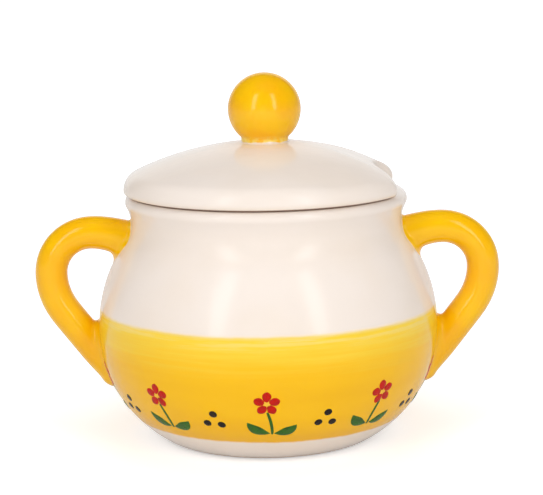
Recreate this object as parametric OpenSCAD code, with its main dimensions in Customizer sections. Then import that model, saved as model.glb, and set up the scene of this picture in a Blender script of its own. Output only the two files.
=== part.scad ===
// Round-bellied ceramic jam pot with two loop handles and a lift-off lid.
// The pot stands on z = 0, its axis is the Z axis and the handles lie along X.
// The lid rests on the flat land of the rim, and its flange drops into the mouth.
// Every outline is a chain of arcs that meet tangent to tangent.

/* [Pot] */
// Outside diameter at the widest level
belly_d = 108; // [102:0.5:116]
// Height of the widest level
belly_h = 35.2; // [31:0.1:39]
// Height of the rim, without the lid
pot_h = 78.4; // [74:0.1:84]
// Outside diameter of the rim
rim_d = 89.1; // [84:0.1:94]
// How far the rim stands out past the neck, on the radius
rim_flare = 1.7; // [1:0.1:3]
// Height of the rim above the narrowest level of the neck
neck_drop = 9.2; // [8:0.1:11]
// Outside diameter of the flat ring that the pot stands on
foot_d = 62.8; // [56:0.1:70]
// Radius of the round between the foot and the belly
foot_round_r = 6.2; // [4:0.1:8]
// Wall thickness
wall_t = 3.6; // [3:0.1:4.5]
// Thickness of the floor over the foot's recess
floor_t = 4.6; // [3.5:0.1:6]
// Radius of the round between floor and wall, inside
floor_round_r = 8; // [5:0.5:11]
// Outer round of the rim
lip_outer_r = 2.6; // [2:0.1:3]
// Inner round of the rim
lip_inner_r = 1.3; // [0.8:0.1:1.6]

/* [Foot ring] */
// Width of the ring that touches the table
foot_ring_w = 4.6; // [3:0.1:7]
// Depth of the recess inside the ring
foot_recess_h = 1.8; // [1:0.1:3]

/* [Handles] */
// Distance from the belly's widest point out to the handle's outer edge
handle_reach = 20; // [18:0.1:26]
// Drop from the rim to the crown of the handle's centreline
handle_drop = 12.4; // [11:0.1:16]
// Height at which the end of the handle's centreline meets the belly
handle_low_h = 19.9; // [17:0.1:24]
// Thickness of the handle at its side, seen from the front
handle_t = 10.2; // [8:0.1:12]
// Width of the handle at its side, front to back
handle_w = 11.2; // [8:0.1:13]
// Bend radius of the centreline at the outer top corner
top_bend_r = 13; // [11:0.1:15]
// Extra lean of the straight run, past the line from the side down to the belly, in degrees
lean_extra = 9.1; // [7:0.1:11]
// Lean of the end of the tail from the vertical, in degrees
tail_lean = 17.6; // [15:0.1:22]
// Bend radius of the tail, as a share of the side's
tail_bend_share = 1.25; // [1:0.05:1.4]
// Drop of the centreline from its crown to the upper root
root_drop = 4.2; // [2:0.1:5]
// Extra half thickness where the upper root spreads on the pot
root_swell = 2.6; // [1:0.1:3.5]
// Length over which the upper root's swell dies away
root_swell_l = 4.5; // [3:0.1:7]

/* [Lid] */
// Outside diameter of the lid
lid_d = 89.9; // [85:0.1:95]
// Height of the lid above the rim, without the knob
lid_h = 15.8; // [13:0.1:20]
// Thickness of the lid
lid_t = 4.2; // [3:0.1:5]
// Upper round of the lid's edge
edge_round_r = 6; // [5:0.1:7]
// Lower round of the lid's edge
edge_under_r = 1.2; // [0.8:0.1:2.2]
// Depth of the flange that drops into the mouth
flange_h = 5; // [3:0.1:7]
// Thickness of the flange
flange_t = 3; // [2.4:0.1:3.2]
// Clearance between flange and mouth, on the radius
lid_play = 0.6; // [0.4:0.1:1]
// Round between the lid's hollow and its flange
hollow_round_r = 4; // [2:0.5:6]

/* [Spoon notch] */
// How far the notch reaches in from the lid's edge
notch_reach = 11; // [10:0.1:12]
// Radius of the notch's bight
notch_r = 17; // [15:0.5:20]
// Radius of the round on each side of the notch
notch_side_r = 7.5; // [6:0.5:13]
// Turn of the notch towards the front from over the right handle, in degrees
notch_turn = 1.5; // [0:0.5:5]
// Extra room that the notch takes from the flange
notch_relief = 3; // [2:0.1:4]

/* [Knob] */
// Diameter of the ball
knob_d = 23; // [18:0.1:28]
// Diameter of the neck under the ball
knob_neck_d = 14.9; // [12:0.1:16]
// Height of the neck between its two fillets
knob_neck_h = 0.4; // [0.2:0.1:3]
// Fillet between neck and ball
knob_neck_round_r = 1; // [0.6:0.1:2]
// Fillet between neck and lid
knob_foot_round_r = 0.8; // [0.4:0.1:2]

/* [Hidden] */

// Fineness of the arcs in an outline, in degrees, and of the revolved solids
arc_step = 4;
$fn = 144;
// Overrun of every cut, and the round on the foot ring and on the flange's lower edges
cut_over = 1;
ring_round_r = 1.2;
flange_round_r = 1.2;
// Share of the S-curve between belly and neck that the convex arc takes
shoulder_share = 0.815;
// Fineness of the handle: rings along each bend and the straight run, sides round the section
ring_n = 8;
lean_n = 3;
side_n = 28;
// Angle short of the tangent at which the notch's side round lets go of the edge
notch_let_go = 8;

// Derived radii and heights of the pot's outline
belly_r = belly_d / 2;
rim_r = rim_d / 2;
foot_r = foot_d / 2;
neck_r = rim_r - rim_flare;
neck_h = pot_h - neck_drop;
mouth_r = neck_r - wall_t;

// Base arc: vertical at the belly and tangent to the foot's round
base_run = belly_r - foot_r;
base_rise = belly_h - foot_round_r;
base_arc_r = (pow(base_run, 2) + pow(base_rise, 2) - pow(foot_round_r, 2))
    / (2 * (base_run - foot_round_r));
base_c = [belly_r - base_arc_r, belly_h];
foot_c = [foot_r, foot_round_r];
foot_turn = atan2(foot_c.y - base_c.y, foot_c.x - base_c.x);

// S-curve: a convex shoulder arc and a concave neck arc, vertical at both ends
neck_in = belly_r - neck_r;
neck_up = neck_h - belly_h;
s_radii = (pow(neck_in, 2) + pow(neck_up, 2)) / (2 * neck_in);
shoulder_arc_r = shoulder_share * s_radii;
hollow_arc_r = s_radii - shoulder_arc_r;
shoulder_c = [belly_r - shoulder_arc_r, belly_h];
hollow_c = [neck_r + hollow_arc_r, neck_h];
s_turn = atan2(hollow_c.y - shoulder_c.y, hollow_c.x - shoulder_c.x);

// Flare: vertical at the neck and tangent to the rim's outer round
lip_c = [rim_r - lip_outer_r, pot_h - lip_outer_r];
flare_arc_r = (pow(lip_c.x - neck_r, 2) + pow(lip_c.y - neck_h, 2) - pow(lip_outer_r, 2))
    / (2 * rim_flare);
flare_c = [neck_r + flare_arc_r, neck_h];
flare_turn = atan2(lip_c.y - flare_c.y, lip_c.x - flare_c.x);

// Round between floor and wall, inside
floor_h = foot_recess_h + floor_t;
inner_arc_r = base_arc_r - wall_t;
floor_c_drop = belly_h - floor_h - floor_round_r;
floor_c = [base_c.x + sqrt(pow(inner_arc_r - floor_round_r, 2) - pow(floor_c_drop, 2)),
    floor_h + floor_round_r];
floor_turn = atan2(-floor_c_drop, floor_c.x - base_c.x);

// Lid: the crown is one arc on the axis, tangent to the edge's upper round
lid_r = lid_d / 2;
edge_h = pot_h + edge_under_r;
crown_h = pot_h + lid_h;
edge_c = [lid_r - edge_round_r, edge_h];
crown_rise = crown_h - edge_h;
crown_arc_r = (pow(edge_c.x, 2) + pow(crown_rise, 2) - pow(edge_round_r, 2))
    / (2 * (crown_rise - edge_round_r));
crown_c = [0, crown_h - crown_arc_r];
crown_turn = atan2(edge_c.y - crown_c.y, edge_c.x);
flange_r = mouth_r - lid_play;
flange_in_r = flange_r - flange_t;
flange_low_h = pot_h - flange_h;
under_arc_r = crown_arc_r - lid_t;
hollow_x = flange_in_r - hollow_round_r;
lid_hollow_c = [hollow_x,
    crown_c.y + sqrt(pow(under_arc_r - hollow_round_r, 2) - pow(hollow_x, 2))];
hollow_turn = atan2(lid_hollow_c.y - crown_c.y, hollow_x);

// Knob: it sits on a small flat at the top of the crown
knob_r = knob_d / 2;
knob_neck_r = knob_neck_d / 2;
knob_foot_r = knob_neck_r + knob_foot_round_r;
seat_h = crown_c.y + sqrt(pow(crown_arc_r, 2) - pow(knob_foot_r, 2));
seat_turn = acos(knob_foot_r / crown_arc_r);
waist_x = knob_neck_r + knob_neck_round_r;
waist_c = [waist_x, seat_h + knob_foot_round_r + knob_neck_h];
waist_drop = sqrt(pow(knob_r + knob_neck_round_r, 2) - pow(waist_x, 2));
ball_h = waist_c.y + waist_drop;
ball_turn = atan2(-waist_drop, waist_x);

// Spoon notch, in plan: the bight's centre and the centre of one side round
bight_x = lid_r - notch_reach + notch_r;
side_orbit_r = lid_r - notch_side_r;
side_x = (pow(side_orbit_r, 2) + pow(bight_x, 2) - pow(notch_r + notch_side_r, 2))
    / (2 * bight_x);
side_y = sqrt(pow(side_orbit_r, 2) - pow(side_x, 2));
bight_turn = atan2(side_y, side_x - bight_x);
side_end = atan2(side_y, side_x) - notch_let_go;

// Handle: its centreline lies in the XZ plane, and runs from the upper root to the belly
handle_top_h = pot_h - handle_drop;
side_line_x = belly_r + handle_reach - handle_t / 2;
bend_c = [side_line_x - top_bend_r, handle_top_h - top_bend_r];
root_x = neck_r - wall_t / 2;
low_end = [base_c.x + sqrt(pow(base_arc_r, 2) - pow(belly_h - handle_low_h, 2)), handle_low_h];

// Side bend, straight run and tail bend, which together span the way down to the belly
span = [side_line_x, bend_c.y] - low_end;
lean_angle = atan2(span.x, span.y) + lean_extra;
lean_way = [-sin(lean_angle), -cos(lean_angle)];
lean_out = [cos(lean_angle), -sin(lean_angle)];
tail_out = [cos(tail_lean), -sin(tail_lean)];
bends_in = 1 - lean_out.x + tail_bend_share * (tail_out.x - lean_out.x);
bends_down = -lean_out.y + tail_bend_share * (tail_out.y - lean_out.y);
side_bend_r = (span.x * lean_way.y - span.y * lean_way.x)
    / (bends_in * lean_way.y - bends_down * lean_way.x);
tail_bend_r = tail_bend_share * side_bend_r;
side_c = [side_line_x - side_bend_r, bend_c.y];
lean_top = side_c + side_bend_r * lean_out;
tail_c = low_end + tail_bend_r * tail_out;
lean_low = tail_c - tail_bend_r * lean_out;

// Points of an arc round c, from one angle to another
function arc(c, r, from, to) =
    let (n = max(3, ceil(abs(to - from) / arc_step)))
    [for (i = [0:n]) let (a = from + (to - from) * i / n) c + r * [cos(a), sin(a)]];

// Outline of the pot's outside, from the foot ring's outer edge up to the rim's land
function pot_side() = concat(
    arc(foot_c, foot_round_r, -90, foot_turn),
    arc(base_c, base_arc_r, foot_turn, 0),
    arc(shoulder_c, shoulder_arc_r, 0, s_turn),
    arc(hollow_c, hollow_arc_r, 180 + s_turn, 180),
    arc(flare_c, flare_arc_r, 180, flare_turn),
    arc(lip_c, lip_outer_r, flare_turn - 180, 90));

// Outline of the pot's inside, from the rim's land down to the middle of the floor
function pot_inside() = concat(
    arc([mouth_r + lip_inner_r, pot_h - lip_inner_r], lip_inner_r, 90, 180),
    arc(hollow_c, hollow_arc_r + wall_t, 180, 180 + s_turn),
    arc(shoulder_c, shoulder_arc_r - wall_t, s_turn, 0),
    arc(base_c, inner_arc_r, 0, floor_turn),
    arc(floor_c, floor_round_r, floor_turn, -90),
    [[0, floor_h]]);

// Underside of the foot, from the axis out to the ring
function foot_under() =
    let (ring_in_r = foot_r - foot_ring_w)
    concat([[0, foot_recess_h], [ring_in_r - foot_recess_h, foot_recess_h]],
        arc([ring_in_r + ring_round_r, ring_round_r], ring_round_r, 225, 270));

// An outline with the points that repeat where two arcs join left out
function joined(points) =
    [for (i = [0:len(points) - 1])
        if (i == 0 || norm(points[i] - points[max(0, i - 1)]) > cut_over / 1000) points[i]];

// Pot: one wall of even thickness from the foot ring to the rounded rim
module pot_body() {
    color("ivory")
        rotate_extrude()
            polygon(joined(concat(foot_under(), pot_side(), pot_inside())));
}

// Solid that fills the pot's outside, which trims the handles' roots
module pot_mass() {
    rotate_extrude()
        polygon(joined(concat([[0, 0]], pot_side(), [[0, pot_h]])));
}

// Handle's centreline: the root's ease, the top bend, the side bend, the lean and the tail
function root_run() =
    [for (i = [0:ring_n - 1]) let (u = i / ring_n)
        [root_x + (bend_c.x - root_x) * u, handle_top_h - root_drop * pow(1 - u, 2)]];
function bend_run(c, r, from, to) =
    [for (i = [0:ring_n - 1])
        let (a = from + (to - from) * i / ring_n) c + r * [cos(a), sin(a)]];
function handle_line() = concat(
    root_run(),
    bend_run(bend_c, top_bend_r, 90, 0),
    bend_run(side_c, side_bend_r, 0, -lean_angle),
    [for (i = [0:lean_n - 1]) lean_top + (lean_low - lean_top) * i / lean_n],
    arc(tail_c, tail_bend_r, 180 - lean_angle, 180 - tail_lean));

// Distance along a line of points, up to each of its points
function run_length(line, i) =
    i == 0 ? 0 : norm(line[i] - line[i - 1]) + run_length(line, i - 1);

// Direction of a line of points at one of its points
function way(line, i) =
    let (d = line[min(i + 1, len(line) - 1)] - line[max(i - 1, 0)]) d / norm(d);

// One ring of the section: t is its half thickness and w its half width
function section(c, d, t, w) =
    [for (k = [0:side_n - 1]) let (a = 360 * k / side_n)
        [c.x - d.y * t * cos(a), w * sin(a), c.y + d.x * t * cos(a)]];

// Rings of the handle, with a domed end on the tail
function handle_rings() =
    let (line = handle_line(), last = len(line) - 1, d = way(line, last),
        t = handle_t / 2, w = handle_w / 2)
    concat(
        [for (i = [0:last])
            let (grow = root_swell * exp(-run_length(line, i) / root_swell_l))
            section(line[i], way(line, i), t + grow, w + grow)],
        [for (i = [1:ring_n / 2])
            let (a = 90 * i / (ring_n / 2 + 1))
            section(line[last] + t * sin(a) * d, d, t * cos(a), w * cos(a))]);

// Solid through a row of rings that all have side_n points
module loft(rings) {
    n = len(rings);
    points = [for (ring = rings) each ring];
    walls = [for (i = [0:n - 2], k = [0:side_n - 1])
        let (j = (k + 1) % side_n, low = i * side_n, high = low + side_n)
        each [[low + k, low + j, high + j], [low + k, high + j, high + k]]];
    first_cap = [for (k = [side_n - 1:-1:0]) k];
    last_cap = [for (k = [0:side_n - 1]) (n - 1) * side_n + k];
    polyhedron(points, concat(walls, [first_cap], [last_cap]));
}

// Handle on the +X side, trimmed to the pot's outside so that the roots lie on it
module handle() {
    difference() {
        loft(handle_rings());
        pot_mass();
    }
}

module handle_right() {
    color("gold") handle();
}

module handle_left() {
    color("gold") mirror([1, 0, 0]) handle();
}

// Lid's outline: underside, flange, seat, edge and crown
function lid_outline() = concat(
    arc(crown_c, under_arc_r, 90, hollow_turn),
    arc(lid_hollow_c, hollow_round_r, hollow_turn, 0),
    arc([flange_in_r + flange_round_r, flange_low_h + flange_round_r], flange_round_r, 180, 270),
    arc([flange_r - flange_round_r, flange_low_h + flange_round_r], flange_round_r, 270, 360),
    [[flange_r, pot_h]],
    arc([lid_r - edge_under_r, edge_h], edge_under_r, -90, 0),
    arc(edge_c, edge_round_r, 0, crown_turn),
    arc(crown_c, crown_arc_r, crown_turn, seat_turn),
    [[0, seat_h]]);

// Plan of what the spoon notch takes from the lid: a bight with a round on each side
function notch_side() = arc([side_x, side_y], notch_side_r, bight_turn - 180, side_end);
function notch_plan() =
    let (half = notch_side(), n = len(half),
        out = half[n - 1] + 2 * notch_side_r * [-sin(side_end), cos(side_end)],
        far = [bight_x, out.y])
    joined(concat(
        arc([bight_x, 0], notch_r, 360 - bight_turn, bight_turn),
        half, [out, far],
        [for (p = [far, out]) [p.x, -p.y]],
        [for (i = [n - 1:-1:1]) [half[i].x, -half[i].y]]));

module lid() {
    color("ivory")
        difference() {
            rotate_extrude()
                polygon(joined(lid_outline()));
            rotate([0, 0, -notch_turn]) {
                translate([0, 0, pot_h - cut_over])
                    linear_extrude(lid_h + cut_over)
                        polygon(notch_plan());
                translate([bight_x, 0, flange_low_h - cut_over])
                    cylinder(r = notch_r + notch_relief, h = flange_h + cut_over);
            }
        }
}

// Knob: a ball on a waisted neck, luted to the crown
module lid_knob() {
    color("gold")
        rotate_extrude()
            polygon(joined(concat(
                [[0, seat_h]],
                arc([knob_foot_r, seat_h + knob_foot_round_r], knob_foot_round_r, 270, 180),
                arc(waist_c, knob_neck_round_r, 180, ball_turn + 180),
                arc([0, ball_h], knob_r, ball_turn, 90))));
}

pot_body();
handle_left();
handle_right();
lid();
lid_knob();
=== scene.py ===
"""Looks of a glazed ceramic jam pot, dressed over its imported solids.

The pot has a round belly with a brushed yellow band, two looped handles, a domed lid with a
spoon notch, a ball knob and small enamel flowers.  Shapes are worked out in millimetres, as
whole arrays, in the frame of the solids: the pot's axis is Z, the handles lie along X and the
camera looks along +Y.  Mould turns them into metres when it fills a mesh.
"""

import logging
import math
from dataclasses import dataclass, field
from enum import Enum

import bpy
import numpy as np
from mathutils import Matrix, Vector


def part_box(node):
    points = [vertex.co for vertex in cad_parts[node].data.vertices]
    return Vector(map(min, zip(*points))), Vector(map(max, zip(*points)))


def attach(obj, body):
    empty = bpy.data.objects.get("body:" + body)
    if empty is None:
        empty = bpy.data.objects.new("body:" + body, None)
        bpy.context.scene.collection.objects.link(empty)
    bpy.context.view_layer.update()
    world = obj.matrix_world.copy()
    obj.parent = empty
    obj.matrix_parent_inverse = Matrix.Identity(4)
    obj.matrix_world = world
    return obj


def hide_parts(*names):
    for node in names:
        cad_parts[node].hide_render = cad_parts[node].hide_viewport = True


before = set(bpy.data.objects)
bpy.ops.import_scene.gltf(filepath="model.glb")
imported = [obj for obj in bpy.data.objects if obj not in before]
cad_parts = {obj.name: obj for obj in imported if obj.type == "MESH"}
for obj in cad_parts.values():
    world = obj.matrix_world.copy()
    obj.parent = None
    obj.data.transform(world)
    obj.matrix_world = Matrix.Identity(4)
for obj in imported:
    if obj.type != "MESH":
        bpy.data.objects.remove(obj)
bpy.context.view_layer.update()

Array = np.ndarray
MM = 0.001
LOG = logging.getLogger("jam_pot")


class Body(Enum):
    """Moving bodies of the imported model."""

    POT = "pot"
    LID = "lid"


class Slot(Enum):
    """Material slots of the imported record."""

    IVORY = "ivory_glaze"
    YELLOW = "yellow_glaze"


class Side(Enum):
    """Side of the pot that a handle stands on, as the sign of X."""

    LEFT = -1
    RIGHT = 1


# Outlines and surfaces


def arc(centre: Array, radius: float, start: float, stop: float, pitch: float = 0.8) -> Array:
    """Points of an arc: centre + radius * (cos a, sin a), for a evenly from start to stop.

    Args:
        centre: Middle of the arc, as (distance from the axis, height).
        radius: Radius of the arc.
        start: First angle, in degrees.
        stop: Last angle, in degrees.
        pitch: Greatest distance between two points.

    Returns:
        The points, one row each.
    """
    turn = abs(stop - start)
    count = max(4, math.ceil(math.radians(turn) * radius / pitch), math.ceil(turn / 7))
    angle = np.radians(np.linspace(start, stop, count + 1))
    return np.asarray(centre) + radius * np.stack([np.cos(angle), np.sin(angle)], axis=-1)


def line(start: Array, stop: Array, pitch: float = 1.2) -> Array:
    """Points of a straight run: start + (stop - start) * u, for u evenly from 0 to 1.

    Args:
        start: First point.
        stop: Last point.
        pitch: Greatest distance between two points.

    Returns:
        The points, one row each.
    """
    start, stop = np.asarray(start, float), np.asarray(stop, float)
    count = max(1, math.ceil(np.linalg.norm(stop - start) / pitch))
    return start + (stop - start) * np.linspace(0, 1, count + 1)[:, None]


def chain(*runs: Array) -> Array:
    """Runs of points end to end, without the points that repeat where two runs join.

    Args:
        runs: Runs of points, in order.

    Returns:
        One run of points.
    """
    points = np.concatenate(runs)
    apart = np.linalg.norm(np.diff(points, axis=0), axis=1) > 1e-3
    return points[np.r_[True, apart]]


def angle_of(way: Array) -> float:
    """Angle of a direction in the plane, in degrees."""
    return math.degrees(math.atan2(way[1], way[0]))


def ease(value: Array, low: float, high: float) -> Array:
    """Smooth step: 3 u^2 - 2 u^3, where u is how far value lies from low to high, kept in 0 to 1.

    Args:
        value: Values to ease.
        low: Value at which the step begins.
        high: Value at which the step ends.

    Returns:
        Values from 0 to 1.
    """
    u = np.clip((value - low) / (high - low), 0, 1)
    return u * u * (3 - 2 * u)


def unit(vectors: Array) -> Array:
    """Vectors of length one."""
    return vectors / np.maximum(np.linalg.norm(vectors, axis=-1, keepdims=True), 1e-12)


def dot(first: Array, second: Array) -> Array:
    """Dot product of each row of first with the same row of second."""
    return np.einsum("ij,ij->i", first, second)


def revolve(outline: Array, columns: int) -> Array:
    """Rows of rings: (r cos a, r sin a, z) for each point (r, z) of an outline and each angle a.

    Args:
        outline: Points (r, z) from one pole to the other.
        columns: Number of points round the axis.

    Returns:
        Grid of points, with a row for each point of the outline.
    """
    angle = np.linspace(0, 2 * math.pi, columns, endpoint=False)
    radius, height = outline[:, :1], outline[:, 1:]
    return np.stack([radius * np.cos(angle), radius * np.sin(angle),
                     height + 0 * angle], axis=-1)


@dataclass
class Mould:
    """Gathers closed skins, each a grid of rings between two poles, into one mesh."""

    points: list[Array] = field(default_factory=list)
    faces: list[Array] = field(default_factory=list)
    marks: dict[str, list[Array]] = field(default_factory=dict)
    count: int = 0

    def skin(self, grid: Array, **marks: Array) -> None:
        """Adds one closed skin: quads between the rings, and fans at the two poles.

        The skin's volume, the sum of p0 . (p1 x p2) / 6 over its triangles, says which way its
        faces point, and they are turned over where it is negative.

        Args:
            grid: Rings of points.  The first and last ring are each one point, the pole.
            marks: Values for the mesh's attributes, one for each ring or each point.
        """
        rings, columns = grid.shape[:2]
        points = np.concatenate([grid[:1, 0], grid[1:-1].reshape(-1, 3), grid[-1:, 0]])
        ring = np.arange(rings - 2)[:-1, None] * columns + 1
        here = np.arange(columns)
        ahead = (here + 1) % columns
        quads = np.stack([ring + here, ring + ahead, ring + columns + ahead,
                          ring + columns + here], axis=-1).reshape(-1, 4)
        last = 1 + (rings - 3) * columns
        top = np.full(columns, len(points) - 1)
        base = np.zeros(columns, int)
        fans = np.concatenate([np.stack([base, 1 + ahead, 1 + here], axis=-1),
                               np.stack([last + here, last + ahead, top], axis=-1)])
        thirds = np.concatenate([quads[:, [0, 1, 2]], quads[:, [0, 2, 3]], fans])
        a, b, c = (points[thirds[:, k]] for k in range(3))
        if dot(a - points[0], np.cross(b - points[0], c - points[0])).sum() < 0:
            quads, fans = quads[:, ::-1], fans[:, ::-1]
        self.faces += [quads + self.count, fans + self.count]
        self.points.append(points)
        self.count += len(points)
        for name, value in marks.items():
            value = np.broadcast_to(value if np.ndim(value) == 2 else np.reshape(value, (-1, 1)),
                                    (rings, columns))
            flat = np.concatenate([value[:1, 0], value[1:-1].reshape(-1), value[-1:, 0]])
            self.marks.setdefault(name, []).append(flat)

    def piece(self, name: str, finish: bpy.types.Material) -> bpy.types.Object:
        """Fills a mesh with the skins, in metres, shaded smooth.

        Args:
            name: Name of the piece.
            finish: Its material.

        Returns:
            The object, which sits at the origin.
        """
        mesh = bpy.data.meshes.new(name)
        mesh.from_pydata(np.concatenate(self.points) * MM, [],
                         [face for block in self.faces for face in block.tolist()])
        mesh.polygons.foreach_set("use_smooth", np.ones(len(mesh.polygons), bool))
        for mark, values in self.marks.items():
            layer = mesh.attributes.new(mark, "FLOAT", "POINT")
            layer.data.foreach_set("value", np.concatenate(values).astype(np.float32))
        mesh.materials.append(finish)
        mesh.update()
        made = bpy.data.objects.new(name, mesh)
        bpy.context.scene.collection.objects.link(made)
        return made


# Shader maths


Value = "float | Sock"


@dataclass(frozen=True)
class Sock:
    """Output socket of a shader node, on which an expression can be written."""

    tree: "Recipe"
    socket: bpy.types.NodeSocket

    def _math(self, operation: str, *values: Value) -> "Sock":
        """Adds one Math node."""
        return self.tree.node("ShaderNodeMath", {"operation": operation},
                              dict(enumerate(values)))

    def __add__(self, other: Value) -> "Sock":
        """self + other."""
        return self._math("ADD", self, other)

    def __sub__(self, other: Value) -> "Sock":
        """self - other."""
        return self._math("SUBTRACT", self, other)

    def __rsub__(self, other: Value) -> "Sock":
        """other - self."""
        return self._math("SUBTRACT", other, self)

    def __mul__(self, other: Value) -> "Sock":
        """self * other."""
        return self._math("MULTIPLY", self, other)

    def __truediv__(self, other: Value) -> "Sock":
        """self / other."""
        return self._math("DIVIDE", self, other)

    def step(self, low: float, high: float) -> "Sock":
        """Smooth step from 0 at low to 1 at high, which may be the smaller of the two."""
        return self.tree.node("ShaderNodeMapRange", {"interpolation_type": "SMOOTHSTEP"},
                              {"Value": self, "From Min": low, "From Max": high})

    def tint(self, under: "tuple | Sock", over: "tuple | Sock") -> "Sock":
        """Colour that goes from under, at 0, to over, at 1."""
        return self.tree.node("ShaderNodeMix", {"data_type": "RGBA"},
                              {0: self, 6: under, 7: over}, output=2)


class Recipe:
    """Node tree of one finish, or of the world, written as expressions on sockets."""

    def __init__(self, name: str, world: bool = False) -> None:
        """Makes an empty material or world.

        Args:
            name: Name of the material or world.
            world: Whether it is a world.
        """
        self.world = world
        self.material = (bpy.data.worlds if world else bpy.data.materials).new(name)
        self.material.use_nodes = True
        self.nodes = self.material.node_tree.nodes
        self.links = self.material.node_tree.links
        self.nodes.clear()

    def node(self, kind: str, settings: dict | None = None, inputs: dict | None = None,
             output: "int | str" = 0) -> Sock:
        """Adds a node.

        Args:
            kind: Type of the node.
            settings: Its settings, set before its sockets.
            inputs: Values or links, by the name or the place of the socket.
            output: Output to go on with.

        Returns:
            That output.
        """
        made = self.nodes.new(kind)
        for key, value in (settings or {}).items():
            setattr(made, key, value)
        for key, value in (inputs or {}).items():
            if isinstance(value, Sock):
                self.links.new(value.socket, made.inputs[key])
            else:
                made.inputs[key].default_value = value
        return Sock(self, made.outputs[output])

    def place(self) -> tuple[Sock, Sock, Sock, Sock]:
        """Reads the object coordinates.

        Returns:
            The place in millimetres, as a vector and as x, y and z.
        """
        metres = self.node("ShaderNodeTexCoord", output="Object")
        whole = self.node("ShaderNodeVectorMath", {"operation": "SCALE"},
                          {0: metres, "Scale": 1 / MM})
        parts = [self.node("ShaderNodeSeparateXYZ", inputs={0: whole}, output=k)
                 for k in range(3)]
        return whole, parts[0], parts[1], parts[2]

    def vector(self, x: Value, y: Value, z: Value) -> Sock:
        """Vector of three values."""
        return self.node("ShaderNodeCombineXYZ", inputs={0: x, 1: y, 2: z})

    def bearing(self, x: Sock, y: Sock) -> tuple[Sock, Sock]:
        """Direction of a place from the pot's axis.

        Args:
            x: Its x.
            y: Its y.

        Returns:
            The x and y of a vector of length one.
        """
        way = self.node("ShaderNodeVectorMath", {"operation": "NORMALIZE"},
                        {0: self.vector(x, y, 0.0)})
        return tuple(self.node("ShaderNodeSeparateXYZ", inputs={0: way}, output=k)
                     for k in range(2))

    def mark(self, name: str) -> Sock:
        """Value of one of the mesh's own attributes."""
        return self.node("ShaderNodeAttribute", {"attribute_name": name}, output="Fac")

    def cloud(self, at: Sock, size: float, detail: float = 2.0, rough: float = 0.5) -> Sock:
        """Noise from about 0 to 1.

        Args:
            at: Coordinates in millimetres.
            size: Size of a patch of the noise, in millimetres.
            detail: Finer layers that are added.
            rough: Strength of each finer layer.

        Returns:
            The noise.
        """
        return self.node("ShaderNodeTexNoise",
                         inputs={"Vector": at, "Scale": 1 / size, "Detail": detail,
                                 "Roughness": rough})

    def bump(self, height: Sock, depth: float) -> Sock:
        """Normal bent by a height from 0 to 1 that is worth depth millimetres."""
        return self.node("ShaderNodeBump", inputs={"Height": height, "Strength": 1.0,
                                                   "Distance": depth * MM})

    def ripple(self, at: Sock, size: float, depth: float) -> Sock:
        """Normal bent by soft ripples of a size and a depth in millimetres."""
        return self.bump(self.cloud(at, size), depth)

    def finish(self, **inputs: "float | tuple | Sock") -> bpy.types.Material:
        """Ends the tree in a glazed surface.

        Args:
            inputs: Sockets of the Principled shader, with _ for a space in a name.

        Returns:
            The material.
        """
        named = {key.replace("_", " "): value for key, value in inputs.items()}
        self.end(self.node("ShaderNodeBsdfPrincipled", inputs=named))
        return self.material

    def end(self, surface: Sock) -> None:
        """Links a shader to the output of the material or world."""
        kind = "World" if self.world else "Material"
        self.links.new(surface.socket, self.nodes.new("ShaderNodeOutput" + kind).inputs["Surface"])


def paint(red: float, green: float, blue: float) -> tuple[float, float, float, float]:
    """Colour as a painter's chart gives it, from 0 to 255, turned into light.

    Args:
        red: Red, from 0 to 255.
        green: Green, from 0 to 255.
        blue: Blue, from 0 to 255.

    Returns:
        Linear red, green, blue and 1.
    """
    chart = np.array([red, green, blue]) / 255
    light = np.where(chart <= 0.04045, chart / 12.92, ((chart + 0.055) / 1.055) ** 2.4)
    return (*light.tolist(), 1.0)


# Finishes


@dataclass(frozen=True)
class Glaze:
    """What every glaze has: how rough it is and how much light it throws back."""

    gloss: float
    specular: float

    def coat(self, recipe: Recipe, colour: Sock, rough: Sock, normal: Sock) -> bpy.types.Material:
        """Ends a tree in this glaze.

        Args:
            recipe: Tree to end.
            colour: Colour of the surface.
            rough: Roughness on top of the glaze's own.
            normal: Normal of the rippled surface.

        Returns:
            The material.
        """
        return recipe.finish(Base_Color=colour, Roughness=rough + self.gloss,
                             Specular_IOR_Level=self.specular, Normal=normal)


@dataclass(frozen=True)
class IvoryGlaze(Glaze):
    """Clear glaze over cream clay, warmer where it pools, with bare clay and a line of painted shade
    at the lid's seam.
    """

    gloss: float = 0.15
    specular: float = 0.32
    cream: tuple = paint(248, 236, 226)
    warm: tuple = paint(244, 228, 211)
    clay: tuple = paint(214, 190, 170)
    # Dark brown of the painted shade in the crevice between the lid and the rim.
    seam: tuple = paint(104, 66, 42)
    drift_size: float = 26.0
    drift_share: float = 0.35
    pool_share: float = 0.65
    clay_rough: float = 0.5
    seam_shade_ends: tuple = (0.9, 0.87)

    def ground(self, recipe: Recipe, at: Sock, pool: Sock) -> Sock:
        """Colour of the glaze.

        Args:
            recipe: Tree to add to.
            at: Object coordinates in millimetres.
            pool: Where the glaze is thick, from 0 to 1.

        Returns:
            The colour.
        """
        drift = recipe.cloud(at, self.drift_size).step(0.35, 0.7)
        return (drift * self.drift_share + pool * self.pool_share).tint(self.cream, self.warm)

    def paint_seam_shade(self, ground: Sock, seam: Sock, way_x: Sock) -> Sock:
        """Ground with a dark brown line of painted shade in the crevice of the lid's seam, which
        ends short of the notch.
        """
        return (seam * way_x.step(*self.seam_shade_ends)).tint(ground, self.seam)


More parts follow.
